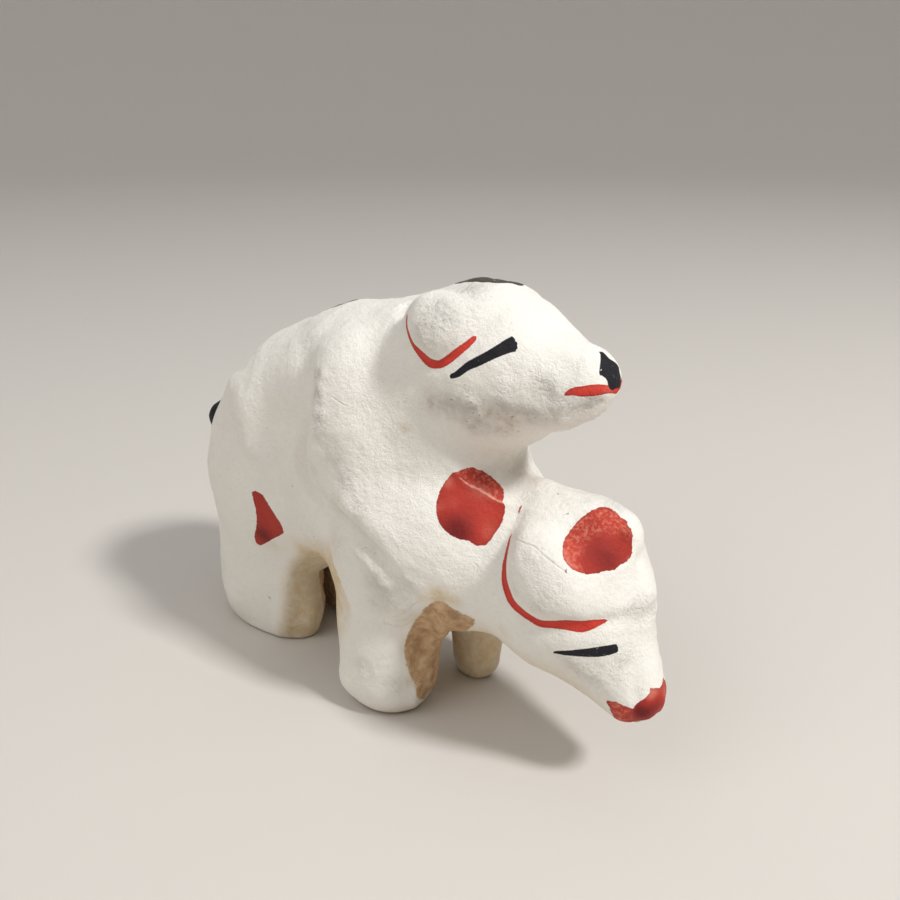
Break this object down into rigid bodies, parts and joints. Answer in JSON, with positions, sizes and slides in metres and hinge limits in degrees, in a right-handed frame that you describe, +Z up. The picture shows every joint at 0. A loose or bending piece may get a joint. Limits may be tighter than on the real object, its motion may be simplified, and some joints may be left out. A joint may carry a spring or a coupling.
{
  "type": "clay dog figurine",
  "caption": "Small solid clay folk figurine of a pair of dogs, one with its forelegs over the other's back, matt white with painted marks, standing on four flat soles.",
  "frame": {"origin": "on the table under the middle of the figurine's length and width", "axes": "+X the way both heads face, +Y the dogs' left, +Z up"},
  "size_m": [0.0648, 0.0232, 0.0485],
  "materials": {
    "chalk_coated_clay": "low-fired clay under a matt white chalk coat, with painted marks in vermilion and black"
  },
  "bodies": {
    "root": {"clay_dogs": "chalk_coated_clay"}
  },
  "joints": []
}
